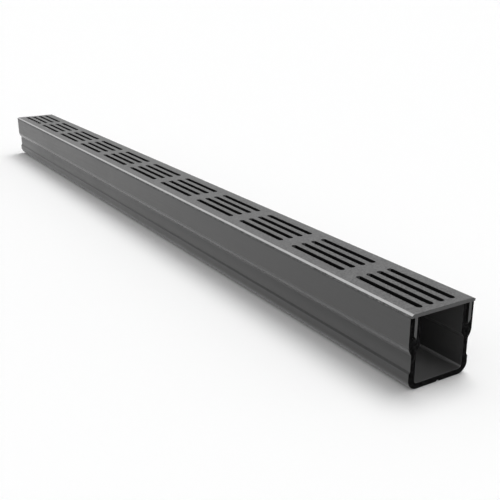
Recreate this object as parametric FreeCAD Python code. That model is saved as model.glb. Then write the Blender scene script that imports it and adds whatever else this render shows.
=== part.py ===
import FreeCAD, Part
import math
import os

# Straight channel drain: an extruded plastic channel, open at the top and at both
# ends, and an extruded aluminium grating whose two legs hang in the channel's grooves.
# Millimetres. X runs along the drain, Y across it and Z up. The origin is the middle
# of the underside.

# Grating: a flat plate with two legs, milled with rows of slots
grating_length = 1000.0
plate_thickness = 3.0
plate_chamfer_width = 2.1
plate_chamfer_drop = 1.3
plate_edge_radius = 0.2
leg_thickness = 2.7
leg_length = 17.4
leg_root_radius = 0.4
tip_chamfer_width = 1.5
tip_chamfer_height = 2.0
tip_radius = 0.4

# Slots: groups along the grating, with equal rows across it in each group
slot_length = 73.4
slot_width = 4.8
slot_row_pitch = 10.87
bar_between_groups = 17.8
smallest_end_bar = 6.0
smallest_side_bar = 5.0

# Channel: outer form, from the foot up
channel_width = 63.7
channel_height = 59.4
foot_width = 59.7
foot_radius = 8.5
foot_ledge_height = 13.6
foot_ledge_rise = 2.1
foot_ledge_radius = 0.4
waist_width = 56.9
flank_height = 29.3
flank_angle = 37.0
flank_lower_radius = 4.0
flank_upper_radius = 11.0
wall_thickness = 4.3
floor_thickness = 4.3
floor_corner_radius = 3.0
notch_width = 2.4
notch_depth = 1.0

# Channel: grooves for the grating's legs, one in the top of each side
outer_lip_thickness = 3.05
inner_lip_thickness = 3.7
lip_edge_radius = 0.4
groove_corner_radius = 0.4
inner_flank_radius = 1.0

# Clearances between the grating and the channel
leg_outer_clearance = 0.3
leg_inner_clearance = 1.0
leg_tip_clearance = 1.0
side_reveal = 0.1
end_reveal = 1.2

# Heights and half widths that follow from the sizes above
overall_height = channel_height + plate_thickness
grating_width = channel_width - 2 * side_reveal
groove_outer_face = channel_width / 2 - outer_lip_thickness
leg_outer_face = groove_outer_face - leg_outer_clearance
leg_inner_face = leg_outer_face - leg_thickness
groove_inner_face = leg_inner_face - leg_inner_clearance
lip_inner_face = groove_inner_face - inner_lip_thickness
leg_tip_height = channel_height - leg_length
groove_floor_height = leg_tip_height - leg_tip_clearance
waist_inner_face = waist_width / 2 - wall_thickness
channel_length = grating_length - 2 * end_reveal
group_pitch = slot_length + bar_between_groups


def rounded_face(corners):
    """A flat face in the YZ plane whose outline turns at each corner (y, z, radius)."""
    points = [FreeCAD.Vector(0, y, z) for y, z, _ in corners]
    edges = []
    bends = []
    for index, here in enumerate(points):
        radius = corners[index][2]
        to_last = (points[index - 1] - here).normalize()
        to_next = (points[(index + 1) % len(points)] - here).normalize()
        half_angle = to_last.getAngle(to_next) / 2
        reach = radius / math.tan(half_angle)
        bends.append((here + to_last * reach, here + to_next * reach))
        if radius > 0:
            inwards = (to_last + to_next).normalize()
            nearest = here + inwards * (radius / math.sin(half_angle) - radius)
            edges.append(Part.Arc(bends[-1][0], nearest, bends[-1][1]).toShape())
    for index, (start, _) in enumerate(bends):
        edges.append(Part.LineSegment(bends[index - 1][1], start).toShape())
    return Part.Face(Part.Wire(Part.__sortEdges__(edges)))


def mirrored(right_side):
    """The whole outline from its right side, listed upwards from the middle line."""
    left_side = [(-y, z, radius) for y, z, radius in reversed(right_side) if y > 0]
    return right_side + left_side


def extruded(corners, length):
    """A solid of the outline's section, as long as given and centred on the origin."""
    section = rounded_face(corners)
    section.translate(FreeCAD.Vector(-length / 2, 0, 0))
    return section.extrude(FreeCAD.Vector(length, 0, 0))


def channel_outline():
    """Section of the channel: notched foot, ledge, waist, flank, lips and groove."""
    foot = foot_width / 2
    waist = waist_width / 2
    side = channel_width / 2
    flank_slope = math.tan(math.radians(flank_angle))
    flank_top_height = flank_height + (side - waist) / flank_slope
    inner_flank_height = flank_height + wall_thickness * math.tan(math.radians(flank_angle / 2))
    inner_flank_top = inner_flank_height + (waist_inner_face - lip_inner_face) / flank_slope
    outside = [
        (0, notch_depth, 0),
        (notch_width / 2, 0, 0),
        (foot, 0, foot_radius),
        (foot, foot_ledge_height, foot_ledge_radius),
        (waist, foot_ledge_height + foot_ledge_rise, foot_ledge_radius),
        (waist, flank_height, flank_lower_radius),
        (side, flank_top_height, flank_upper_radius),
        (side, channel_height, lip_edge_radius),
    ]
    groove = [
        (groove_outer_face, channel_height, lip_edge_radius),
        (groove_outer_face, groove_floor_height + tip_chamfer_height, 0),
        (groove_outer_face - tip_chamfer_width, groove_floor_height, 0),
        (groove_inner_face, groove_floor_height, groove_corner_radius),
        (groove_inner_face, channel_height, lip_edge_radius),
    ]
    inside = [
        (lip_inner_face, channel_height, lip_edge_radius),
        (lip_inner_face, inner_flank_top, inner_flank_radius),
        (waist_inner_face, inner_flank_height, inner_flank_radius),
        (waist_inner_face, floor_thickness, floor_corner_radius),
    ]
    return mirrored(outside + groove + inside)


def grating_outline():
    """Section of the grating: chamfered plate and two legs with bevelled tips."""
    side = grating_width / 2
    return mirrored([
        (leg_inner_face, channel_height, leg_root_radius),
        (leg_inner_face, leg_tip_height, tip_radius),
        (leg_outer_face - tip_chamfer_width, leg_tip_height, tip_radius),
        (leg_outer_face, leg_tip_height + tip_chamfer_height, tip_radius),
        (leg_outer_face, channel_height, leg_root_radius),
        (side, channel_height, plate_edge_radius),
        (side, overall_height - plate_chamfer_drop, plate_edge_radius),
        (side - plate_chamfer_width, overall_height, plate_edge_radius),
    ])


def round_ended_slot():
    """One slot through the plate, with round ends, centred on the origin."""
    radius = slot_width / 2
    straight = slot_length / 2 - radius
    corners = [FreeCAD.Vector(x * straight, y * radius, 0) for x, y in ((1, -1), (1, 1), (-1, 1), (-1, -1))]
    right_end = FreeCAD.Vector(slot_length / 2, 0, 0)
    outline = Part.Wire([
        Part.Arc(corners[0], right_end, corners[1]).toShape(),
        Part.LineSegment(corners[1], corners[2]).toShape(),
        Part.Arc(corners[2], -right_end, corners[3]).toShape(),
        Part.LineSegment(corners[3], corners[0]).toShape(),
    ])
    slot = Part.Face(outline).extrude(FreeCAD.Vector(0, 0, 3 * plate_thickness))
    slot.translate(FreeCAD.Vector(0, 0, channel_height - plate_thickness))
    return slot


def centred_steps(count, pitch):
    """Places of so many copies at the given pitch, centred on zero."""
    return [(index - (count - 1) / 2) * pitch for index in range(count)]


def slot_pattern():
    """Every slot of the grating: as many groups and rows as its plate has room for."""
    room_along = grating_length - 2 * smallest_end_bar + bar_between_groups
    room_across = 2 * (leg_inner_face - smallest_side_bar) + slot_row_pitch - slot_width
    slot = round_ended_slot()
    slots = []
    for x in centred_steps(int(room_along // group_pitch), group_pitch):
        for y in centred_steps(int(room_across // slot_row_pitch), slot_row_pitch):
            copy = slot.copy()
            copy.translate(FreeCAD.Vector(x, y, 0))
            slots.append(copy)
    return slots


def make_channel():
    """The channel, cut square at both ends."""
    return extruded(channel_outline(), channel_length)


def make_grating():
    """The grating, with its slots milled through the plate."""
    return extruded(grating_outline(), grating_length).cut(slot_pattern())


os.makedirs("parts", exist_ok=True)
make_channel().exportStep("parts/channel_body.step")
make_grating().exportStep("parts/slotted_grating.step")
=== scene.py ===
"""Channel drain: its looks, built in the CAD model's own frame.

X runs along the drain, Y across it and Z up. Sizes are written in millimetres, as on
the drawing, and become metres in the meshes.
"""
import logging
import math
from collections.abc import Callable, Iterable
from dataclasses import dataclass, field, replace
from enum import Enum

import bmesh
import bpy
from mathutils import Euler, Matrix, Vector


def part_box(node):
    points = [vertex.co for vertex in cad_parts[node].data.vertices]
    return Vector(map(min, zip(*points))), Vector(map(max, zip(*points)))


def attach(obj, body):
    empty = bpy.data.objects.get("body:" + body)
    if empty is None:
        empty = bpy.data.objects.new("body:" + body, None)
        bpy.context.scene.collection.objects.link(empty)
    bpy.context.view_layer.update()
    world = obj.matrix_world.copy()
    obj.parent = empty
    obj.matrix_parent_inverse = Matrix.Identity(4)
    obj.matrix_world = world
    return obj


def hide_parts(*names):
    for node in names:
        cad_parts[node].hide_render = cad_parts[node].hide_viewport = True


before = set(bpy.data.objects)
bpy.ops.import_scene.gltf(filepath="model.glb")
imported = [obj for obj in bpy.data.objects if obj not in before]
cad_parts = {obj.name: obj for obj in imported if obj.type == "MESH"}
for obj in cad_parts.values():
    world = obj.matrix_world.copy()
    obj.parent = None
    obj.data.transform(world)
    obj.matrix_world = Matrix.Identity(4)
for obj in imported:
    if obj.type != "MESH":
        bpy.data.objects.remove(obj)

log = logging.getLogger("channel_drain")

MM = 0.001
BODY = "root"
SHARP_ANGLE = math.radians(35)
RIM_ANGLE = math.radians(65)
RIM_STEPS = 3
RIM_TURNS = (0, 30, 60, 90)
FEWEST_BEND_STEPS = 3
AREA_WEIGHT = 80
WELD_DISTANCE = 1e-6

# How much of a face's normal has to lie along an axis for the face to count as square to it
SQUARE_ON = 0.9
LEVEL = 0.99

Colour = tuple[float, float, float]
Place = tuple[float, float, float]
Point = tuple[float, float]
Range = tuple[float, float]
Socket = bpy.types.NodeSocket
Tree = bpy.types.NodeTree


class Slot(Enum):
    """The names of the material slots."""

    PLASTIC = "channel_plastic"
    METAL = "grating_metal"


class Along(Enum):
    """How much coarser a pattern is along the drain than across it."""

    SAME = 1.0
    DRAWN = 0.02
    BRUSHED = 0.05


def grey(tone: float) -> Colour:
    """A neutral colour."""
    return tone, tone, tone


# Node trees

NUMBER = "NodeSocketFloat"
SHAPE = "NodeSocketGeometry"


class Graph:
    """A node tree with short ways to add nodes and to join them."""

    def __init__(self, tree: Tree) -> None:
        """Wraps a tree.

        Args:
            tree: The shader or geometry tree to build in.
        """
        self.tree = tree

    def add(self, kind: str, inputs: dict | None = None, **settings: object) -> bpy.types.Node:
        """Adds one node.

        Args:
            kind: The node's type name.
            inputs: A value or an output socket for each input, by number or name.
            settings: The node's own settings.

        Returns:
            The new node.
        """
        node = self.tree.nodes.new(kind)
        for name, value in settings.items():
            setattr(node, name, value)
        for key, value in (inputs or {}).items():
            self.feed(node.inputs[key], value)
        return node

    def feed(self, socket: Socket, value: object) -> None:
        """Links an output to a socket, or sets the socket's own value.

        Args:
            socket: The input to fill.
            value: An output socket, a number, a vector or a colour.
        """
        if isinstance(value, Socket):
            self.tree.links.new(value, socket)
        elif socket.type == "RGBA":
            socket.default_value = (*value, 1.0)
        else:
            socket.default_value = value

    def maths(self, operation: str, *values: object) -> Socket:
        """One sum on numbers.

        Args:
            operation: The Math node's operation.
            values: Its one, two or three numbers or sockets.

        Returns:
            The result's socket.
        """
        return self.add("ShaderNodeMath", dict(enumerate(values)), operation=operation).outputs[0]

    def remap(self, value: object, start: Range, end: Range) -> Socket:
        """Maps a number from one range to another, smoothly and clamped.

        Args:
            value: The number's socket.
            start: The range it comes from.
            end: The range it goes to.

        Returns:
            The mapped number's socket.
        """
        inputs = dict(enumerate((value, *start, *end)))
        return self.add("ShaderNodeMapRange", inputs, interpolation_type="SMOOTHSTEP").outputs[0]

    def mix(self, share: object, first: object, second: object) -> Socket:
        """Blends two colours.

        Args:
            share: How much of the second colour there is, from 0 to 1.
            first: The colour at 0.
            second: The colour at 1.

        Returns:
            The blended colour's socket.
        """
        node = self.add("ShaderNodeMix", {0: share, 6: first, 7: second}, data_type="RGBA")
        return node.outputs[2]

    def group(self, tree: Tree, inputs: dict) -> bpy.types.Node:
        """Places a shared group with its own values.

        Args:
            tree: The group's tree.
            inputs: A value or socket for each named input.

        Returns:
            The group's node.
        """
        node = self.tree.nodes.new("ShaderNodeGroup")
        node.node_tree = tree
        for name, value in inputs.items():
            self.feed(node.inputs[name], value)
        return node


def new_tree(name: str, kind: str, inputs: dict, outputs: dict) -> tuple[Graph, dict, bpy.types.Node]:
    """A new node group with named sockets.

    Args:
        name: The group's name.
        kind: ShaderNodeTree or GeometryNodeTree.
        inputs: Each input's name with its socket type and default value.
        outputs: Each output's name with its socket type.

    Returns:
        The graph, its input sockets by name, and its output node.
    """
    tree = bpy.data.node_groups.new(name, kind)
    for label, (socket_type, default) in inputs.items():
        socket = tree.interface.new_socket(label, in_out="INPUT", socket_type=socket_type)
        if default is not None:
            socket.default_value = default
    for label, socket_type in outputs.items():
        tree.interface.new_socket(label, in_out="OUTPUT", socket_type=socket_type)
    given = tree.nodes.new("NodeGroupInput")
    made = tree.nodes.new("NodeGroupOutput")
    return Graph(tree), {label: given.outputs[label] for label in inputs}, made


# Effects that several finishes share

NOISE_ROUGHNESS = 0.6
UNIT = (0.0, 1.0)

# The parts of a noise's or a mask's range over which an effect comes in
EDGE_TURN = (0.995, 0.90)
EDGE_BREAKS = (0.35, 0.62)
SCUFF_LINE = (0.02, 0.0)
SCUFF_PATCHES = (0.58, 0.70)
BROAD_TONES = (0.3, 0.7)
SPECK_TONES = (0.25, 0.75)
GLOSS_TONES = (0.2, 0.8)
# Painted light: the slopes over which faces that look down turn paler
PAINTED_UNDERSIDE_LIGHT_SLOPES = (-0.15, -0.7)


class SharedEffects:
    """The shader groups: each is built once and placed in each material that uses it."""

    def __init__(self) -> None:
        """Builds every group."""
        self.grain = self._grain()
        self.mottle = self._mottle()
        self.edges = self._edges()
        self.scuffs = self._scuffs()

    @staticmethod
    def _noise(graph: Graph, place: object, scale: object, detail: float) -> Socket:
        """A noise texture's value.

        Args:
            graph: The tree to build in.
            place: The coordinates' socket.
            scale: How fine the noise is, per metre.
            detail: How many finer layers it has.

        Returns:
            The value's socket, from 0 to 1.
        """
        inputs = {"Vector": place, "Scale": scale, "Detail": detail, "Roughness": NOISE_ROUGHNESS}
        return graph.add("ShaderNodeTexNoise", inputs).outputs[0]

    def _grain(self) -> Tree:
        """Fine lines or grains that can be stretched along the drain.

        Returns:
            The group's tree.
        """
        graph, given, made = new_tree(
            "grain",
            "ShaderNodeTree",
            {"Scale": (NUMBER, 1000.0), "Stretch": (NUMBER, 1.0)},
            {"Grain": NUMBER},
        )
        place = graph.add("ShaderNodeTexCoord").outputs["Object"]
        stretch = graph.add("ShaderNodeCombineXYZ", {0: given["Stretch"], 1: 1.0, 2: 1.0}).outputs[0]
        shaped = graph.add("ShaderNodeVectorMath", {0: place, 1: stretch}, operation="MULTIPLY").outputs[0]
        graph.feed(made.inputs["Grain"], self._noise(graph, shaped, given["Scale"], detail=3.0))
        return graph.tree

    def _mottle(self) -> Tree:
        """Broad, soft changes of tone, from handling and storage.

        Returns:
            The group's tree.
        """
        graph, given, made = new_tree(
            "mottle",
            "ShaderNodeTree",
            {"Scale": (NUMBER, 20.0)},
            {"Tone": NUMBER},
        )
        times_finer = 5.3
        finer_share = 0.4
        place = graph.add("ShaderNodeTexCoord").outputs["Object"]
        broad = self._noise(graph, place, given["Scale"], detail=2.0)
        finer = self._noise(graph, place, graph.maths("MULTIPLY", given["Scale"], times_finer), detail=4.0)
        rest = graph.maths("MULTIPLY", broad, 1 - finer_share)
        graph.feed(made.inputs["Tone"], graph.maths("MULTIPLY_ADD", finer, finer_share, rest))
        return graph.tree

    def _edges(self) -> Tree:
        """A mask of the outer edges, broken up as rubbed edges are.

        Returns:
            The group's tree.
        """
        graph, given, made = new_tree(
            "rubbed_edges",
            "ShaderNodeTree",
            {"Radius": (NUMBER, 0.0004), "Amount": (NUMBER, 1.0)},
            {"Mask": NUMBER},
        )
        rounded = graph.add("ShaderNodeBevel", {"Radius": given["Radius"]}, samples=6).outputs[0]
        true = graph.add("ShaderNodeNewGeometry").outputs["Normal"]
        alike = graph.add("ShaderNodeVectorMath", {0: rounded, 1: true}, operation="DOT_PRODUCT")
        edge = graph.remap(alike.outputs["Value"], EDGE_TURN, UNIT)
        place = graph.add("ShaderNodeTexCoord").outputs["Object"]
        noise = self._noise(graph, place, scale=120.0, detail=4.0)
        least_left = 0.25
        broken = graph.remap(noise, EDGE_BREAKS, (least_left, 1.0))
        mask = graph.maths("MULTIPLY", graph.maths("MULTIPLY", edge, broken), given["Amount"])
        graph.feed(made.inputs["Mask"], mask)
        return graph.tree

    def _scuffs(self) -> Tree:
        """Sparse hairline scratches, mostly along the drain.

        Returns:
            The group's tree.
        """
        graph, given, made = new_tree(
            "scuffs",
            "ShaderNodeTree",
            {"Scale": (NUMBER, 60.0), "Amount": (NUMBER, 1.0)},
            {"Mask": NUMBER},
        )
        place = graph.add("ShaderNodeTexCoord").outputs["Object"]
        slightly = (0.05, 0.09, 0.12)
        turned = graph.add("ShaderNodeMapping", {"Vector": place, "Rotation": slightly}).outputs[0]
        long_cells = (0.06, 1.0, 1.0)
        inputs = {0: turned, 1: long_cells}
        shaped = graph.add("ShaderNodeVectorMath", inputs, operation="MULTIPLY").outputs[0]
        cells = graph.add(
            "ShaderNodeTexVoronoi",
            {"Vector": shaped, "Scale": given["Scale"]},
            feature="DISTANCE_TO_EDGE",
        ).outputs["Distance"]
        line = graph.remap(cells, SCUFF_LINE, UNIT)
        patches = self._noise(graph, place, scale=14.0, detail=3.0)
        sparse = graph.remap(patches, SCUFF_PATCHES, UNIT)
        mask = graph.maths("MULTIPLY", graph.maths("MULTIPLY", line, sparse), given["Amount"])
        graph.feed(made.inputs["Mask"], mask)
        return graph.tree


# Finishes


@dataclass(frozen=True)
class Finish:
    """One surface finish, some with painted light and shade: its tone, gloss, grain, marks and rubbed
    edges.

    Depths, radii and heights are in millimetres. The painted underside light makes faces that look
    down paler, for the floor's light on them, and the painted shade darkens the colour from one
    height up to another, for the shade under an overhang.
    """

    name: str
    base: float
    edge: float
    roughness: float
    metallic: float = 0.0
    specular: float = 0.5
    grain_scale: float = 1500.0
    grain_along: Along = Along.SAME
    grain_tone: float = 0.1
    grain_gloss: float = 0.06
    grain_depth: float = 0.004
    mottle_scale: float = 18.0
    mottle_tone: float = 0.15
    edge_radius: float = 0.4
    edge_amount: float = 0.5
    scuff_scale: float = 45.0
    scuff_amount: float = 0.2
    # Painted light on faces that look down, and painted shade from one height up to another
    painted_underside_light: float = 1.0
    painted_shade_rise: Range = (0.0, 1.0)
    painted_shade_tone: float = 1.0

    def material(self, effects: SharedEffects) -> bpy.types.Material:
        """Builds the finish as a material.

        Args:
            effects: The shared shader groups.

        Returns:
            The material.
        """
        made = bpy.data.materials.new(self.name)
        made.use_nodes = True
        graph = Graph(made.node_tree)
        made.node_tree.nodes.clear()
        grain = graph.group(
            effects.grain,
            {"Scale": self.grain_scale, "Stretch": self.grain_along.value},
        ).outputs[0]
        tone = graph.group(effects.mottle, {"Scale": self.mottle_scale}).outputs[0]
        bump = graph.add(
            "ShaderNodeBump",
            {"Strength": 1.0, "Distance": self.grain_depth * MM, "Height": grain},
        ).outputs[0]
        both = graph.maths("SUBTRACT", graph.maths("ADD", grain, tone), 0.5)
        middle, spread = self.roughness, self.grain_gloss
        shader = graph.add(
            "ShaderNodeBsdfPrincipled",
            {
                "Base Color": self._colour(graph, effects, grain, tone),
                "Metallic": self.metallic,
                "Roughness": graph.remap(both, GLOSS_TONES, (middle - spread, middle + spread)),
                "Specular IOR Level": self.specular,
                "Normal": bump,
            },
        )
        graph.add("ShaderNodeOutputMaterial", {"Surface": shader.outputs[0]})
        return made

    def _colour(self, graph: Graph, effects: SharedEffects, grain: Socket, tone: Socket) -> Socket:
        """The mottled and grained colour, with its painted light and shade, marks and rubbed edges on it.

        Args:
            graph: The material's tree.
            effects: The shared shader groups.
            grain: The grain's value.
            tone: The mottle's value.

        Returns:
            The colour's socket.
        """
        rubbed = graph.group(
            effects.edges,
            {"Radius": self.edge_radius * MM, "Amount": self.edge_amount},
        ).outputs[0]
        scuffed = graph.group(
            effects.scuffs,
            {"Scale": self.scuff_scale, "Amount": self.scuff_amount},
        ).outputs[0]
        dark = grey(self.base * (1 - self.mottle_tone))
        pale = grey(self.base * (1 + self.mottle_tone))
        broad = graph.mix(graph.remap(tone, BROAD_TONES, UNIT), dark, pale)
        speck = graph.remap(grain, SPECK_TONES, (1 - self.grain_tone, 1 + self.grain_tone))
        scale = graph.maths("MULTIPLY", speck, self._shade(graph))
        shaded = graph.add("ShaderNodeVectorMath", {0: broad, "Scale": scale}, operation="SCALE")
        return graph.mix(graph.maths("MAXIMUM", rubbed, scuffed), shaded.outputs[0], grey(self.edge))

    def _shade(self, graph: Graph) -> Socket:
        """The painted light and shade: how much the colour is scaled by a face's slope and by its height.

        Args:
            graph: The material's tree.

        Returns:
            The factor's socket.
        """
        normal = graph.add("ShaderNodeNewGeometry").outputs["Normal"]
        slope = graph.add("ShaderNodeSeparateXYZ", {0: normal}).outputs["Z"]
        # Painted light: faces that look down are made paler
        under = graph.remap(slope, PAINTED_UNDERSIDE_LIGHT_SLOPES, (1.0, self.painted_underside_light))
        place = graph.add("ShaderNodeTexCoord").outputs["Object"]
        height = graph.add("ShaderNodeSeparateXYZ", {0: place}).outputs["Z"]
        # Painted shade: the colour darkens from one height up to another
        start, end = self.painted_shade_rise
        painted_shade = graph.remap(height, (start * MM, end * MM), (1.0, self.painted_shade_tone))
        return graph.maths("MULTIPLY", under, painted_shade)


DRAWN_PLASTIC = Finish(
    name="black_plastic_drawn",
    base=0.049,
    edge=0.09,
    roughness=0.36,
    grain_scale=900.0,
    grain_along=Along.DRAWN,
    grain_tone=0.06,
    grain_gloss=0.05,
    grain_depth=0.006,
    mottle_tone=0.06,
    edge_amount=0.25,
    scuff_amount=0.12,
    # Painted light: faces that look down are a little paler, for the floor's light on them
    painted_underside_light=1.2,
)
# Painted shade: a darker copy of the drawn plastic on the ledge, for the shade in its crease
LEDGE_PAINTED_SHADE = replace(
    DRAWN_PLASTIC,
    name="black_plastic_ledge",
    base=0.032,
    specular=0.33,
    mottle_tone=0.2,
    edge_amount=0.0,
    scuff_amount=0.0,
)
# Painted light: the flank's faces that look down are painted paler, for the floor's light on them
FLANK_PAINTED_LIGHT = replace(
    DRAWN_PLASTIC,
    name="black_plastic_flank",
    base=0.049,
    roughness=0.24,
    grain_gloss=0.01,
    grain_depth=0.0,
    edge_amount=0.0,
    scuff_amount=0.0,
    painted_underside_light=2.3,
)
# Painted shade: the waist darkens towards the flank, for the shade under its overhang
WAIST_PAINTED_SHADE = replace(
    DRAWN_PLASTIC,
    name="black_plastic_waist",
    painted_shade_rise=(17.0, 28.5),
    painted_shade_tone=0.45,
)
# Painted light: a paler copy of the drawn plastic on the channel's inner floor, for the light that reaches
# it
INNER_FLOOR_PAINTED_LIGHT = replace(
    DRAWN_PLASTIC,
    name="black_plastic_floor",
    base=0.088,
    scuff_amount=0.0,
)
# Painted highlight: a much paler copy of the drawn plastic on the inner fillets, for the highlight line
# along them
FILLET_PAINTED_HIGHLIGHT = replace(
    DRAWN_PLASTIC,
    name="black_plastic_fillet",
    base=0.21,
    edge_amount=0.0,
    scuff_amount=0.0,
)
SAWN_PLASTIC = Finish(
    name="black_plastic_sawn",
    base=0.0065,
    edge=0.02,
    roughness=0.75,
    specular=0.01,
    grain_scale=600.0,
    grain_tone=0.8,
    grain_depth=0.05,
    mottle_scale=300.0,
    mottle_tone=0.95,
    edge_radius=0.25,
    edge_amount=0.4,
    scuff_amount=0.0,
)
COATED_METAL = Finish(
    name="anthracite_aluminium",
    base=0.092,
    edge=0.19,
    roughness=0.45,
    metallic=0.55,
    grain_scale=550.0,
    grain_tone=0.55,
    grain_gloss=0.05,
    grain_depth=0.003,
    mottle_tone=0.04,
    edge_radius=0.3,
    edge_amount=0.3,
    scuff_amount=0.10,
)
# Painted shade: a matt, non-metal copy of the coating on the plate's upright side edges, painted to their
# darker tone
RIM_PAINTED_SHADE = replace(
    COATED_METAL,
    name="anthracite_rim",
    base=0.125,
    roughness=0.6,
    metallic=0.0,
    specular=0.1,
    edge_amount=0.0,
    scuff_amount=0.0,
)
# Painted highlight: a bright, near-mirror copy of the metal on the top chamfer, for the highlight along it
CHAMFER_PAINTED_HIGHLIGHT = Finish(
    name="bright_chamfer",
    base=0.447,
    edge=0.55,
    roughness=0.35,
    metallic=0.9,
    grain_scale=1800.0,
    grain_along=Along.BRUSHED,
    grain_tone=0.08,
    grain_depth=0.003,
    mottle_tone=0.05,
    edge_radius=0.2,
    edge_amount=0.3,
    scuff_amount=0.0,
)
# Painted shade: a near-black copy of the metal on the slot walls and legs, for the shade inside the slots
# and under the plate
INNER_PAINTED_SHADE = Finish(
    name="black_inner_metal",
    base=0.007,
    edge=0.02,
    roughness=0.6,
    specular=0.08,
    grain_scale=2500.0,
    grain_tone=0.3,
    edge_radius=0.2,
    edge_amount=0.2,
    scuff_amount=0.0,
)
SAWN_METAL = Finish(
    name="sawn_aluminium",
    base=0.075,
    edge=0.14,
    roughness=0.55,
    metallic=0.5,
    grain_scale=1200.0,
    grain_tone=0.15,
    grain_depth=0.01,
    mottle_scale=120.0,
    mottle_tone=0.1,
    edge_radius=0.2,
    edge_amount=0.3,
    scuff_amount=0.0,
)


class ChannelFinish(Enum):
    """The channel's finishes, in the order of its material slots. Ledge and waist carry painted shade;
    flank, floor and fillet carry painted light.
    """

    DRAWN = DRAWN_PLASTIC
    SAWN = SAWN_PLASTIC
    LEDGE = LEDGE_PAINTED_SHADE
    WAIST = WAIST_PAINTED_SHADE
    FLANK = FLANK_PAINTED_LIGHT
    FLOOR = INNER_FLOOR_PAINTED_LIGHT
    FILLET = FILLET_PAINTED_HIGHLIGHT


class GratingFinish(Enum):
    """The grating's finishes, in the order of its material slots. The chamfer carries a painted highlight,
    the inside and the rim painted shade.
    """

    COATED = COATED_METAL
    CHAMFER = CHAMFER_PAINTED_HIGHLIGHT
    INSIDE = INNER_PAINTED_SHADE
    SAWN = SAWN_METAL
    RIM = RIM_PAINTED_SHADE


def materials_for(finishes: type[Enum], effects: SharedEffects) -> dict[Enum, bpy.types.Material]:
    """The material of each finish of a piece, in the finishes' own order."""
    return {finish: finish.value.material(effects) for finish in finishes}


# Sections


@dataclass(frozen=True)
class Corner:
    """A corner of a section, where two straight sides would meet, in millimetres."""

    y: float
    z: float
    radius: float = 0.0

    @property
    def spot(self) -> Vector:
        """The corner as a flat vector."""
        return Vector((self.y, self.z))

    @property
    def mirrored(self) -> "Corner":
        """The same corner on the drain's other side."""
        return Corner(-self.y, self.z, self.radius)

    def bend(self, last: Vector, following: Vector, degrees_a_step: float = 9.0) -> list[Point]:
        """The points of the rounded corner.

        Args:
            last: The corner before it.
            following: The corner after it.
            degrees_a_step: The largest turn between two points.

        Returns:
            The points, in order along the outline.
        """
        if self.radius == 0:
            return [(self.y, self.z)]
        to_last = (last - self.spot).normalized()
        to_next = (following - self.spot).normalized()
        half = to_last.angle(to_next) / 2
        centre = self.spot + (to_last + to_next).normalized() * (self.radius / math.sin(half))
        start = self.spot + to_last * (self.radius / math.tan(half)) - centre
        end = self.spot + to_next * (self.radius / math.tan(half)) - centre
        turn = math.pi - 2 * half
        steps = max(FEWEST_BEND_STEPS, math.ceil(math.degrees(turn) / degrees_a_step))
        points = []
        for step in range(steps + 1):
            share = step / steps
            spoke = (start * math.sin((1 - share) * turn) + end * math.sin(share * turn)) / math.sin(turn)
            points.append(tuple(centre + spoke))
        return points


def rounded_loop(corners: list[Corner]) -> list[Point]:
    """The closed outline of a section.

    Args:
        corners: Its corners in order.

    Returns:
        The points of the outline, with each corner rounded.
    """
    spots = [corner.spot for corner in corners]
    points = []
    for index, corner in enumerate(corners):
        points += corner.bend(spots[index - 1], spots[(index + 1) % len(spots)])
    return points


def rounded_run(start: Point, corners: list[Corner], end: Point) -> list[Point]:
    """An open outline from one point to another.

    Args:
        start: Its first point.
        corners: The corners between.
        end: Its last point.

    Returns:
        The points of the run, with each corner rounded.
    """
    spots = [Vector(start), *(corner.spot for corner in corners), Vector(end)]
    points = [start]
    for index, corner in enumerate(corners, 1):
        points += corner.bend(spots[index - 1], spots[index + 1])
    return [*points, end]


def mirrored_run(run: list[Point]) -> list[Point]:
    """The same run on the drain's other side, in the outline's order."""
    return [(-y, z) for y, z in reversed(run)]


# Meshes


def mesh_object(name: str, points: Iterable, edges: list, faces: list) -> bpy.types.Object:
    """A mesh object at the origin.

    Args:
        name: Its name.
        points: Its points in millimetres.
        edges: Pairs of point numbers.
        faces: Loops of point numbers.

    Returns:
        The object, linked to the scene.
    """
    mesh = bpy.data.meshes.new(name)
    mesh.from_pydata([Vector(point) * MM for point in points], edges, faces)
    made = bpy.data.objects.new(name, mesh)
    bpy.context.scene.collection.objects.link(made)
    return made


def section_wire(name: str, x: float, runs: list[list[Point]], closed: bool = False) -> bpy.types.Object:
    """Section lines as a mesh of edges.

    Args:
        name: The object's name.
        x: Where the section lies along the drain, in millimetres.
        runs: The lines, each a list of points across the drain.
        closed: Whether each line ends where it starts.

    Returns:
        The wire object.
    """
    points = []
    edges = []
    for run in runs:
        first = len(points)
        points += [(x, y, z) for y, z in run]
        last = len(points) - 1
        edges += [(number, number + 1) for number in range(first, last)]
        if closed:
            edges.append((last, first))
    return mesh_object(name, points, edges, [])


def section_face(name: str, x: float, loop: list[Point]) -> bpy.types.Object:
    """A section as one flat face that looks along +X.

    Args:
        name: The object's name.
        x: Where the section lies along the drain, in millimetres.
        loop: The outline's points across the drain.

    Returns:
        The face object.
    """
    made = mesh_object(name, [(x, y, z) for y, z in loop], [], [list(range(len(loop)))])
    if made.data.polygons[0].normal.x < 0:
        made.data.flip_normals()
    return made


def evaluated_mesh(made: bpy.types.Object) -> bpy.types.Mesh:
    """The object's mesh with its modifiers applied, as a plain mesh."""
    graph = bpy.context.evaluated_depsgraph_get()
    seen = made.evaluated_get(graph)
    return bpy.data.meshes.new_from_object(seen, preserve_all_data_layers=True, depsgraph=graph)


def settle(made: bpy.types.Object) -> None:
    """Takes an object's modifiers into its mesh and removes them.

    Args:
        made: The object to change.
    """
    bpy.context.view_layer.update()
    mesh = evaluated_mesh(made)
    made.modifiers.clear()
    old = made.data
    made.data = mesh
    bpy.data.meshes.remove(old)
    mesh.name = made.name


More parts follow.
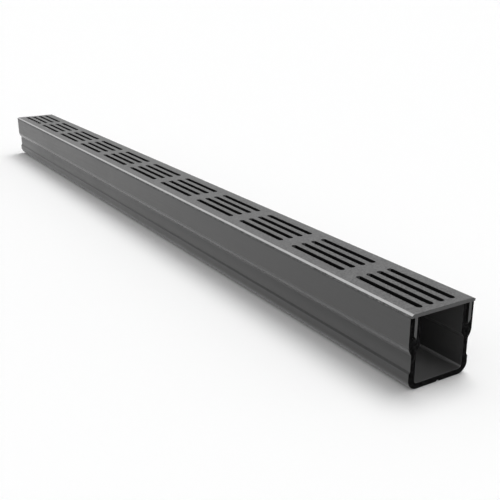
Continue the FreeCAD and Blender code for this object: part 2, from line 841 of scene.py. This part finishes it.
def grow(made: bpy.types.Object, tree: Tree, inputs: dict) -> None:
    """Runs a Geometry Nodes tree on an object and keeps the result as its mesh.

    Args:
        made: The object that carries the tree's own geometry.
        tree: The tree.
        inputs: The value of each named input.
    """
    modifier = made.modifiers.new("nodes", "NODES")
    modifier.node_group = tree
    names = {item.name: item.identifier for item in tree.interface.items_tree if item.in_out == "INPUT"}
    for name, value in inputs.items():
        modifier[names[name]] = value
    settle(made)


def soften(made: bpy.types.Object, rim: float) -> None:
    """Points the faces outwards, breaks the cut rims and evens out the shading.

    Args:
        made: The closed mesh object to finish.
        rim: The width of the broken edge round each square cut, in millimetres.
    """
    shell = bmesh.new()
    shell.from_mesh(made.data)
    bmesh.ops.recalc_face_normals(shell, faces=shell.faces)
    shell.to_mesh(made.data)
    shell.free()
    bevel = made.modifiers.new("rims", "BEVEL")
    bevel.width = rim * MM
    bevel.segments = RIM_STEPS
    bevel.angle_limit = RIM_ANGLE
    bevel.use_clamp_overlap = False
    settle(made)
    mesh = made.data
    mesh.polygons.foreach_set("use_smooth", [True] * len(mesh.polygons))
    mesh.set_sharp_from_angle(angle=SHARP_ANGLE)
    evened = made.modifiers.new("normals", "WEIGHTED_NORMAL")
    evened.mode = "FACE_AREA"
    evened.weight = AREA_WEIGHT
    evened.keep_sharp = True
    settle(made)


def dress(made: bpy.types.Object, materials: dict[Enum, bpy.types.Material], choose: Callable) -> None:
    """Gives each face its finish.

    Args:
        made: The object to dress.
        materials: The material of each finish, in the order of the object's slots.
        choose: Gives a face's finish from the face.
    """
    made.data.materials.clear()
    for material in materials.values():
        made.data.materials.append(material)
    slots = {finish: number for number, finish in enumerate(materials)}
    for face in made.data.polygons:
        face.material_index = slots[choose(face)]


def extruded_section_tree() -> Tree:
    """The Geometry Nodes tree that draws a section face out to a closed bar.

    Returns:
        The tree. Its own geometry is the section at the bar's low end, looking along +X.
    """
    graph, given, made = new_tree(
        "extruded_section",
        "GeometryNodeTree",
        {
            "Section": (SHAPE, None),
            "Length": (NUMBER, 1.0),
            "Finish": ("NodeSocketMaterial", None),
        },
        {"Bar": SHAPE},
    )
    offset = graph.add("ShaderNodeCombineXYZ", {0: given["Length"]}).outputs[0]
    drawn = graph.add(
        "GeometryNodeExtrudeMesh",
        {"Mesh": given["Section"], "Offset": offset, "Offset Scale": 1.0, "Individual": False},
        mode="FACES",
    ).outputs[0]
    start = graph.add("GeometryNodeFlipFaces", {0: given["Section"]}).outputs[0]
    joined = graph.add("GeometryNodeJoinGeometry", {0: drawn})
    graph.feed(joined.inputs[0], start)
    weld = {0: joined.outputs[0], "Distance": WELD_DISTANCE}
    closed = graph.add("GeometryNodeMergeByDistance", weld).outputs[0]
    real = graph.add("GeometryNodeRealizeInstances", {0: closed}).outputs[0]
    finished = graph.add("GeometryNodeSetMaterial", {0: real, "Material": given["Finish"]}).outputs[0]
    graph.feed(made.inputs["Bar"], finished)
    return graph.tree


GRATING_INPUTS = {
    "Slot Cell": (SHAPE, None),
    "Rail Lines": ("NodeSocketObject", None),
    "Bar Loop": ("NodeSocketObject", None),
    "End Face": ("NodeSocketObject", None),
    "Groups": ("NodeSocketInt", 11),
    "Group Pitch": (NUMBER, 0.1),
    "Rows": ("NodeSocketInt", 4),
    "Row Pitch": (NUMBER, 0.01),
    "Group Length": (NUMBER, 0.1),
    "Bar Length": (NUMBER, 0.01),
    "Length": (NUMBER, 1.0),
    "Finish": ("NodeSocketMaterial", None),
}


def slotted_grating_tree() -> Tree:
    """The Geometry Nodes tree that lays out the grating from its repeated pieces.

    Slot cells fill the field in rows and groups. Side rails run along each group,
    bars join the groups, and an end face closes each end.

    Returns:
        The tree. Its own geometry is one slot cell, centred on the origin.
    """
    outputs = {"Grating": SHAPE}
    graph, given, made = new_tree("slotted_grating", "GeometryNodeTree", GRATING_INPUTS, outputs)

    def along_x(value: object) -> Socket:
        """A vector of that length along the drain."""
        return graph.add("ShaderNodeCombineXYZ", {0: value}).outputs[0]

    def copied(points: object, piece: object) -> Socket:
        """One copy of the piece on each point."""
        return graph.add("GeometryNodeInstanceOnPoints", {"Points": points, "Instance": piece}).outputs[0]

    def in_line(count: object) -> Socket:
        """Points a group pitch apart, centred on the origin."""
        gaps = graph.maths("SUBTRACT", count, 1.0)
        start = graph.maths("MULTIPLY", graph.maths("MULTIPLY", gaps, given["Group Pitch"]), -0.5)
        inputs = {"Count": count, "Start Location": along_x(start), "Offset": along_x(given["Group Pitch"])}
        return graph.add("GeometryNodeMeshLine", inputs).outputs[0]

    def drawn(piece: object, length: object) -> Socket:
        """An object's lines drawn out along the drain."""
        lines = graph.add("GeometryNodeObjectInfo", {"Object": piece}).outputs["Geometry"]
        inputs = {"Mesh": lines, "Offset": along_x(length), "Offset Scale": 1.0}
        return graph.add("GeometryNodeExtrudeMesh", inputs, mode="EDGES").outputs[0]

    reach = [
        graph.maths("MULTIPLY", graph.maths("SUBTRACT", given[count], 1.0), given[pitch])
        for count, pitch in (("Groups", "Group Pitch"), ("Rows", "Row Pitch"))
    ]
    field_inputs = {
        "Size X": reach[0],
        "Size Y": reach[1],
        "Vertices X": given["Groups"],
        "Vertices Y": given["Rows"],
    }
    slot_places = graph.add("GeometryNodeMeshGrid", field_inputs).outputs[0]
    between = graph.maths("SUBTRACT", given["Groups"], 1.0)
    face = graph.add("GeometryNodeObjectInfo", {"Object": given["End Face"]}).outputs["Geometry"]
    half = graph.maths("MULTIPLY", given["Length"], 0.5)
    back = graph.maths("MULTIPLY", half, -1.0)
    pieces = [
        copied(slot_places, given["Slot Cell"]),
        copied(in_line(given["Groups"]), drawn(given["Rail Lines"], given["Group Length"])),
        copied(in_line(between), drawn(given["Bar Loop"], given["Bar Length"])),
        graph.add("GeometryNodeTransform", {0: face, "Translation": along_x(half)}).outputs[0],
        graph.add("GeometryNodeTransform", {0: face, "Translation": along_x(back)}).outputs[0],
    ]
    joined = graph.add("GeometryNodeJoinGeometry")
    for piece in pieces:
        graph.feed(joined.inputs[0], piece)
    real = graph.add("GeometryNodeRealizeInstances", {0: joined.outputs[0]}).outputs[0]
    closed = graph.add("GeometryNodeMergeByDistance", {0: real, "Distance": WELD_DISTANCE}).outputs[0]
    again = graph.add("GeometryNodeRealizeInstances", {0: closed}).outputs[0]
    finished = graph.add("GeometryNodeSetMaterial", {0: again, "Material": given["Finish"]}).outputs[0]
    graph.feed(made.inputs["Grating"], finished)
    return graph.tree


# Sub-assemblies


@dataclass
class Assembly:
    """A sub-assembly that is built inside one CAD node's box. Sizes in millimetres."""

    effects: SharedEffects
    node: str
    rim: float = 0.12
    low: Vector = field(init=False)
    high: Vector = field(init=False)

    def __post_init__(self) -> None:
        """Takes the outer box from the CAD node."""
        self.low, self.high = (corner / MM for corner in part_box(self.node))


@dataclass
class Channel(Assembly):
    """The extruded plastic channel. A slope is the upward part of a face's normal."""

    node: str = "channel_body"
    foot_width: float = 60.3
    foot_radius: float = 9.0
    ledge_height: float = 13.9
    ledge_rise: float = 1.65
    edge_radius: float = 0.4
    waist_width: float = 57.6
    flank_height: float = 29.3
    flank_angle: float = 37.0
    flank_lower_radius: float = 4.0
    flank_upper_radius: float = 11.0
    wall: float = 4.65
    floor: float = 4.65
    floor_radius: float = 3.0
    inner_flank_radius: float = 1.0
    notch_width: float = 3.2
    notch_depth: float = 1.6
    outer_lip: float = 3.05
    groove_width: float = 4.0
    groove_depth: float = 18.4
    groove_bevel: Point = (1.5, 2.0)
    inner_lip: float = 3.7
    # The slopes and heights that pick the faces for painted light and shade
    ledge_slope: float = 0.5
    waist_slope: float = -0.35
    flank_slope: float = -0.1
    fillet_slope: float = 0.35
    floor_slope: float = 0.7
    flank_lead: float = 3.0
    waist_skin: float = 0.1

    def right_side(self) -> list[Corner]:
        """The section's right side.

        Returns:
            The corners, from the middle of the underside round to the channel's floor.
        """
        side = self.high.y
        top = self.high.z
        waist = self.waist_width / 2
        foot = self.foot_width / 2
        slope = math.tan(math.radians(self.flank_angle))
        groove = side - self.outer_lip
        groove_floor = top - self.groove_depth
        groove_inside = groove - self.groove_width
        lip = groove_inside - self.inner_lip
        inside = waist - self.wall
        inner_low = self.flank_height + self.wall * math.tan(math.radians(self.flank_angle / 2))
        inner_high = inner_low + (inside - lip) / slope
        return [
            Corner(0, self.notch_depth),
            Corner(self.notch_width / 2, 0),
            Corner(foot, 0, self.foot_radius),
            Corner(foot, self.ledge_height, self.edge_radius),
            Corner(waist, self.ledge_height + self.ledge_rise, self.edge_radius),
            Corner(waist, self.flank_height, self.flank_lower_radius),
            Corner(side, self.flank_height + (side - waist) / slope, self.flank_upper_radius),
            Corner(side, top, self.edge_radius),
            Corner(groove, top, self.edge_radius),
            Corner(groove, groove_floor + self.groove_bevel[1]),
            Corner(groove - self.groove_bevel[0], groove_floor),
            Corner(groove_inside, groove_floor, self.edge_radius),
            Corner(groove_inside, top, self.edge_radius),
            Corner(lip, top, self.edge_radius),
            Corner(lip, inner_high, self.inner_flank_radius),
            Corner(inside, inner_low, self.inner_flank_radius),
            Corner(inside, self.floor, self.floor_radius),
        ]

    def finish_of(self, face: bpy.types.MeshPolygon) -> ChannelFinish:
        """Which finish a face has, by where it lies on the section: the ledge and waist get painted shade,
        the flank, the inner floor and its fillets painted light.

        Args:
            face: The face, with its centre in metres.

        Returns:
            The finish.
        """
        slope = face.normal.z
        height = face.center.z / MM
        if abs(face.normal.x) > SQUARE_ON:
            return ChannelFinish.SAWN
        if abs(face.center.y) / MM > self.waist_width / 2 - self.waist_skin:
            ledge_top = self.ledge_height + self.ledge_rise
            if self.ledge_height < height < ledge_top and slope > self.ledge_slope:
                return ChannelFinish.LEDGE
            if self.ledge_height < height < self.flank_height and slope > self.waist_slope:
                return ChannelFinish.WAIST
            if self.flank_height - self.flank_lead < height and slope < self.flank_slope:
                return ChannelFinish.FLANK
        elif height < self.floor + self.floor_radius and slope > self.fillet_slope:
            return ChannelFinish.FLOOR if slope > self.floor_slope else ChannelFinish.FILLET
        return ChannelFinish.DRAWN

    def build(self) -> bpy.types.Object:
        """Builds the channel and gives it its finishes.

        Returns:
            The finished piece.
        """
        right = self.right_side()
        left = [corner.mirrored for corner in reversed(right) if corner.y > 0]
        piece = section_face("channel", self.low.x, rounded_loop(right + left))
        materials = materials_for(ChannelFinish, self.effects)
        length = (self.high.x - self.low.x) * MM
        drawn = materials[ChannelFinish.DRAWN]
        grow(piece, extruded_section_tree(), {"Length": length, "Finish": drawn})
        soften(piece, self.rim)
        dress(piece, materials, self.finish_of)
        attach(piece, BODY)
        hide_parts(self.node)
        return piece


@dataclass
class Grating(Assembly):
    """The extruded and milled aluminium grating."""

    node: str = "slotted_grating"
    plate: float = 3.0
    chamfer: Point = (2.2, 1.05)
    edge_radius: float = 0.2
    leg: float = 2.7
    leg_length: float = 16.5
    leg_inset: float = 3.25
    leg_root_radius: float = 0.4
    tip_bevel: Point = (1.5, 2.0)
    tip_radius: float = 0.4
    slot_length: float = 73.4
    slot_width: float = 4.8
    groups: int = 11
    rows: int = 4
    group_pitch: float = 91.2
    row_pitch: float = 10.87
    end_steps: int = 16
    slot_rim: float = 0.3
    # The skins and slopes that pick the faces for the painted highlight and shade
    plate_skin: float = 0.001
    slot_end_turn: float = 0.5
    upright_slope: float = 0.1
    chamfer_slopes: Point = (0.4, 0.6)

    @property
    def length(self) -> float:
        """The grating's length."""
        return self.high.x - self.low.x

    @property
    def underside(self) -> float:
        """The height of the plate's underside."""
        return self.high.z - self.plate

    @property
    def group_length(self) -> float:
        """The length of plate that belongs to one group of slots."""
        return self.length - (self.groups - 1) * self.group_pitch

    @property
    def bar_length(self) -> float:
        """The length of plain plate between two such lengths."""
        return self.group_pitch - self.group_length

    @property
    def field_edge(self) -> float:
        """Half the width of the slotted field."""
        return self.rows * self.row_pitch / 2

    def stadium(self, spread: float) -> list[Point]:
        """A round-ended slot outline, wider by the spread on all sides.

        Args:
            spread: How far the outline lies outside the slot's wall.

        Returns:
            The outline's points, from the slot's +X end round to its -X end.
        """
        radius = self.slot_width / 2
        straight = self.slot_length / 2 - radius
        points = []
        for side in (1, -1):
            for step in range(self.end_steps + 1):
                angle = math.pi * (step / self.end_steps - 0.5)
                x = straight + (radius + spread) * math.cos(angle)
                points.append((side * x, side * (radius + spread) * math.sin(angle)))
        return points

    def cell_frame(self) -> list[Point]:
        """The edge of one slot's patch of plate, point for point with the slot's outline.

        Returns:
            The points along the patch's +X edge and then its -X edge.
        """
        half = self.group_length / 2
        heights = [self.row_pitch * (step / self.end_steps - 0.5) for step in range(self.end_steps + 1)]
        return [(side * half, side * y) for side in (1, -1) for y in heights]

    def slot_cell(self) -> bpy.types.Object:
        """One slot with its patch of plate, as rings from the top face to the underside.

        Returns:
            The cell object, centred on the origin.
        """
        turns = [math.radians(angle) for angle in RIM_TURNS]
        rim = self.slot_rim
        rims = [(rim * (1 - math.sin(turn)), rim * (1 - math.cos(turn))) for turn in turns]
        upper = [(self.stadium(spread), self.high.z - drop) for spread, drop in rims]
        lower = [(self.stadium(spread), self.underside + drop) for spread, drop in reversed(rims)]
        rings = [(self.cell_frame(), self.high.z), *upper, *lower, (self.cell_frame(), self.underside)]
        count = len(rings[0][0])
        points = [(x, y, z) for ring, z in rings for x, y in ring]
        faces = []
        for level in range(len(rings) - 1):
            for number in range(count):
                beside = (number + 1) % count
                here, below = level * count, (level + 1) * count
                faces.append((here + number, here + beside, below + beside, below + number))
        return mesh_object("slotted_plate", points, [], faces)

    def right_rail(self) -> list[Point]:
        """The section outside the slotted field, from its top edge round to its lower edge.

        Returns:
            The points of the plate's edge and of the leg.
        """
        side = self.high.y
        outer = side - self.leg_inset
        inner = outer - self.leg
        tip = self.underside - self.leg_length
        corners = [
            Corner(side - self.chamfer[0], self.high.z, self.edge_radius),
            Corner(side, self.high.z - self.chamfer[1], self.edge_radius),
            Corner(side, self.underside, self.edge_radius),
            Corner(outer, self.underside, self.leg_root_radius),
            Corner(outer, tip + self.tip_bevel[1], self.tip_radius),
            Corner(outer - self.tip_bevel[0], tip, self.tip_radius),
            Corner(inner, tip, self.tip_radius),
            Corner(inner, self.underside, self.leg_root_radius),
        ]
        return rounded_run((self.field_edge, self.high.z), corners, (self.field_edge, self.underside))

    def whole_loop(self) -> list[Point]:
        """The whole section's outline.

        Returns:
            Its points, with one wherever the slot cells have one.
        """
        steps = self.rows * self.end_steps
        across = [self.field_edge * (2 * step / steps - 1) for step in range(1, steps)]
        right = self.right_rail()
        top = [(y, self.high.z) for y in across]
        bottom = [(y, self.underside) for y in reversed(across)]
        return [*top, *right, *bottom, *mirrored_run(right)]

    def finish_of(self, face: bpy.types.MeshPolygon) -> GratingFinish:
        """Which finish a face has: coated, chamfer with a painted highlight, inside painted black as shade,
        sawn end, or rim with painted shade.

        Args:
            face: The face, with its centre in metres.

        Returns:
            The finish.
        """
        normal = face.normal
        height = face.center.z / MM
        if abs(face.center.x) / MM > self.high.x - self.rim and abs(normal.x) > SQUARE_ON:
            return GratingFinish.SAWN
        in_plate = self.underside + self.plate_skin < height < self.high.z - self.plate_skin
        in_slot = in_plate and abs(face.center.y) / MM < self.field_edge and abs(normal.z) < LEVEL
        # Slot walls get painted shade, except the end walls that face +X
        if in_slot:
            end_wall = normal.x > self.slot_end_turn and abs(normal.z) < self.upright_slope
            return GratingFinish.COATED if end_wall else GratingFinish.INSIDE
        if abs(normal.y) > self.chamfer_slopes[0] and normal.z > self.chamfer_slopes[1]:
            return GratingFinish.CHAMFER
        # The legs get painted shade
        if height < self.underside:
            return GratingFinish.INSIDE
        return GratingFinish.RIM if abs(normal.y) > SQUARE_ON else GratingFinish.COATED

    def build(self) -> bpy.types.Object:
        """Builds the grating and gives it its finishes.

        Returns:
            The finished piece.
        """
        piece = self.slot_cell()
        right = self.right_rail()
        rails = [right, mirrored_run(right)]
        loop = self.whole_loop()
        helpers = {
            "Rail Lines": section_wire("rail_lines", -self.group_length / 2, rails),
            "Bar Loop": section_wire("bar_loop", -self.bar_length / 2, [loop], closed=True),
            "End Face": section_face("end_face", 0.0, loop),
        }
        materials = materials_for(GratingFinish, self.effects)
        sizes = {
            "Groups": self.groups,
            "Group Pitch": self.group_pitch * MM,
            "Rows": self.rows,
            "Row Pitch": self.row_pitch * MM,
            "Group Length": self.group_length * MM,
            "Bar Length": self.bar_length * MM,
            "Length": self.length * MM,
            "Finish": materials[GratingFinish.COATED],
        }
        grow(piece, slotted_grating_tree(), {**helpers, **sizes})
        for helper in helpers.values():
            bpy.data.objects.remove(helper)
        soften(piece, self.rim)
        dress(piece, materials, self.finish_of)
        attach(piece, BODY)
        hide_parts(self.node)
        return piece


# Studio


@dataclass(frozen=True)
class Glow:
    """A soft bright part of the surroundings, between its inner and outer angle in degrees."""

    towards: Place
    inner: float
    outer: float
    strength: float


@dataclass
class Studio:
    """The pale floor, the soft surroundings and the camera.

    The floor's size and the camera's place are in metres, the gap under the drain and
    the lens in millimetres, and the camera's turn in degrees.
    """

    floor_size: float = 60.0
    floor_gap: float = 0.05
    floor_tone: float = 0.985
    base_light: float = 0.52
    background: float = 1.0
    mirrored_white: float = 0.5
    glows: tuple[Glow, ...] = (Glow((-0.2, 0.32, 0.927), 4.0, 22.0, 7.2),)
    camera_place: Place = (0.870387, -0.392157, 0.287265)
    camera_turn: Place = (70.82, 0.2601, 58.5316)
    camera_lens: float = 55.81
    camera_sensor: float = 36.0
    camera_range: Range = (0.01, 200.0)

    def floor(self) -> None:
        """Lays the floor under the drain. From below it can be seen through."""
        half = self.floor_size / 2 / MM
        turns = ((-half, -half), (half, -half), (half, half), (-half, half))
        floor = mesh_object("floor", [(x, y, -self.floor_gap) for x, y in turns], [], [(0, 1, 2, 3)])
        made = bpy.data.materials.new("pale_floor")
        made.use_nodes = True
        graph = Graph(made.node_tree)
        made.node_tree.nodes.clear()
        tone = grey(self.floor_tone)
        matt = graph.add("ShaderNodeBsdfDiffuse", {"Color": tone}).outputs[0]
        clear = graph.add("ShaderNodeBsdfTransparent").outputs[0]
        white = graph.add("ShaderNodeEmission", {"Color": tone, "Strength": self.background}).outputs[0]
        glossy = graph.add("ShaderNodeLightPath").outputs["Is Glossy Ray"]
        mirrored = graph.maths("MULTIPLY", glossy, self.mirrored_white)
        above = graph.add("ShaderNodeMixShader", {0: mirrored, 1: matt, 2: white}).outputs[0]
        below = graph.add("ShaderNodeNewGeometry").outputs["Backfacing"]
        mixed = graph.add("ShaderNodeMixShader", {0: below, 1: above, 2: clear}).outputs[0]
        graph.add("ShaderNodeOutputMaterial", {"Surface": mixed})
        floor.data.materials.append(made)

    def surroundings(self) -> None:
        """Sets the world: an even light with soft brighter parts, behind a white background."""
        world = bpy.data.worlds.new("studio")
        world.use_nodes = True
        bpy.context.scene.world = world
        world.node_tree.nodes.clear()
        graph = Graph(world.node_tree)
        view = graph.add("ShaderNodeTexCoord").outputs["Generated"]
        light = self.base_light
        for glow in self.glows:
            towards = Vector(glow.towards).normalized()
            near = graph.add("ShaderNodeVectorMath", {0: view, 1: towards}, operation="DOT_PRODUCT")
            edges = (math.cos(math.radians(glow.outer)), math.cos(math.radians(glow.inner)))
            part = graph.remap(near.outputs["Value"], edges, (0.0, glow.strength))
            light = graph.maths("ADD", light, part)
        path = graph.add("ShaderNodeLightPath").outputs
        seen = graph.maths("MAXIMUM", path["Is Camera Ray"], path["Is Glossy Ray"])
        choice = {0: seen, 2: light, 3: self.background}
        strength = graph.add("ShaderNodeMix", choice, data_type="FLOAT").outputs[0]
        shader = graph.add("ShaderNodeBackground", {"Color": grey(1.0), "Strength": strength})
        graph.add("ShaderNodeOutputWorld", {"Surface": shader.outputs[0]})

    def camera(self) -> None:
        """Sets the camera at the photograph's angle, for a square picture."""
        data = bpy.data.cameras.new("camera")
        data.lens = self.camera_lens
        data.sensor_width = self.camera_sensor
        data.clip_start, data.clip_end = self.camera_range
        camera = bpy.data.objects.new("camera", data)
        camera.location = self.camera_place
        camera.rotation_euler = Euler([math.radians(turn) for turn in self.camera_turn])
        bpy.context.scene.collection.objects.link(camera)
        bpy.context.scene.camera = camera

    def build(self) -> None:
        """Sets up the whole studio."""
        self.floor()
        self.surroundings()
        self.camera()
        bpy.context.scene.view_settings.view_transform = "Standard"


def main() -> None:
    """Builds every sub-assembly and the studio, and reports each piece."""
    logging.basicConfig(level=logging.INFO, format="%(message)s")
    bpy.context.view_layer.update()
    effects = SharedEffects()
    for assembly in (Channel(effects), Grating(effects)):
        piece = assembly.build()
        log.info("%s: %d faces", piece.name, len(piece.data.polygons))
    Studio().build()


if __name__ == "__main__":
    main()
